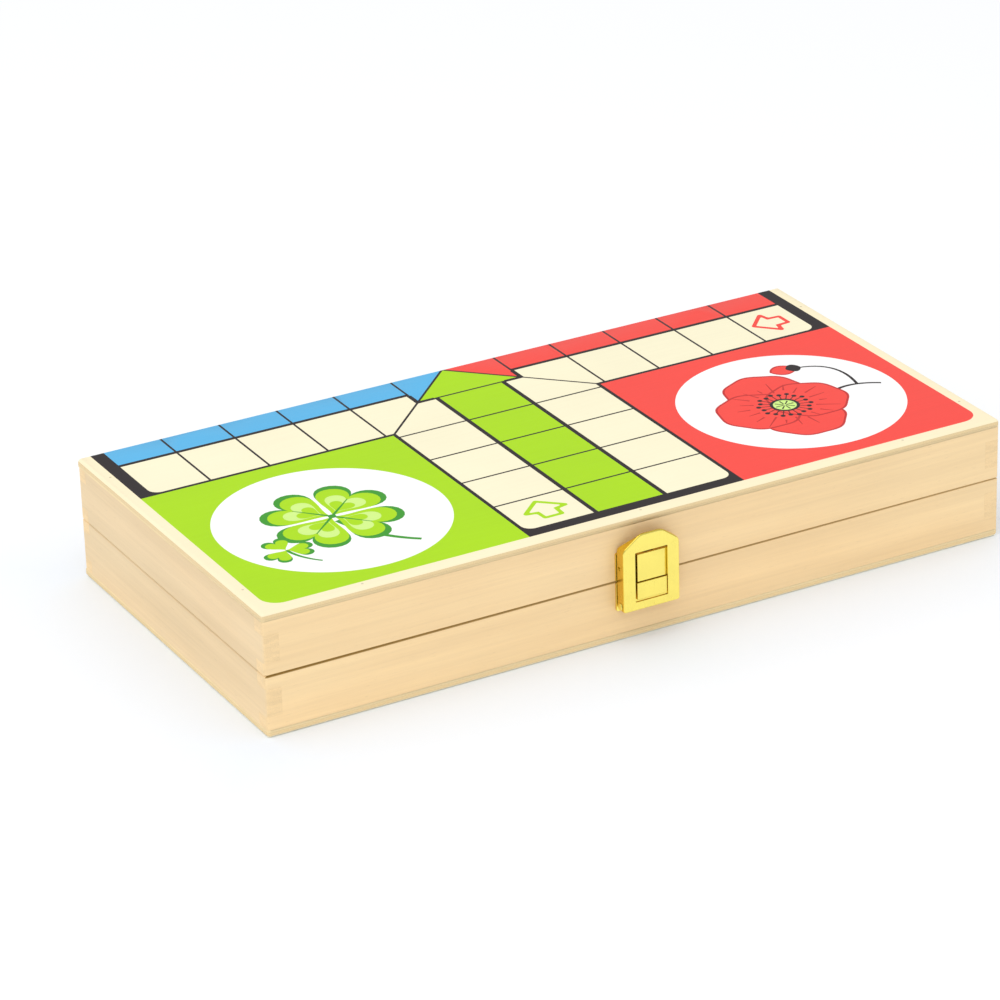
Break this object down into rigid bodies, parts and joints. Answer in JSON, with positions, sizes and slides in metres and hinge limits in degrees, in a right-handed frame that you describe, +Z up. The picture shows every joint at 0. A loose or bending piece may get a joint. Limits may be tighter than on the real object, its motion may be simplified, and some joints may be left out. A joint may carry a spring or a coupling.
{
  "type": "folding board game box",
  "caption": "Flat hinged wooden box whose two outer panels open into one square race-game board; brass swing latch in front, tray inside each half.",
  "frame": {"origin": "centre of the base's bottom face, where the closed box stands on a table", "axes": "+X along the latch side (longest), +Y from the latch to the hinges, +Z up through the closed box (shortest)"},
  "size_m": [0.3, 0.1569, 0.047],
  "materials": {
    "solid_wood": "pale basswood, planed and clear lacquered",
    "plywood": "thin plywood, cream primed and screen printed on its outer face",
    "latch_brass": "bright brass plate on pressed steel",
    "hinge_brass": "plain brass",
    "steel": "drawn wire"
  },
  "bodies": {
    "base": {"base_front_wall": "solid_wood", "base_back_wall": "solid_wood", "base_left_wall": "solid_wood", "base_right_wall": "solid_wood", "base_panel": "plywood", "base_panel_brads": "steel", "left_hinge_base_leaf": "hinge_brass", "right_hinge_base_leaf": "hinge_brass", "left_hinge_pin": "hinge_brass", "right_hinge_pin": "hinge_brass", "hinge_base_screws": "hinge_brass", "latch_bracket": "latch_brass", "latch_rivets": "latch_brass", "latch_bracket_nails": "latch_brass"},
    "lid": {"lid_front_wall": "solid_wood", "lid_back_wall": "solid_wood", "lid_left_wall": "solid_wood", "lid_right_wall": "solid_wood", "lid_panel": "plywood", "lid_panel_brads": "steel", "left_hinge_lid_leaf": "hinge_brass", "right_hinge_lid_leaf": "hinge_brass", "hinge_lid_screws": "hinge_brass", "latch_keeper": "latch_brass", "latch_keeper_nails": "latch_brass"},
    "latch_frame": {"latch_frame": "latch_brass"}
  },
  "joints": [
    {"name": "lid_hinge", "type": "hinge", "parent": "base", "child": "lid", "pos_m": [0, 0.075, 0.0235], "axis": [-1, 0, 0], "range_deg": [0, 180]},
    {"name": "latch_swing", "type": "hinge", "parent": "base", "child": "latch_frame", "pos_m": [-0.0011, -0.0782, 0.0151], "axis": [1, 0, 0], "range_deg": [0, 95]}
  ]
}
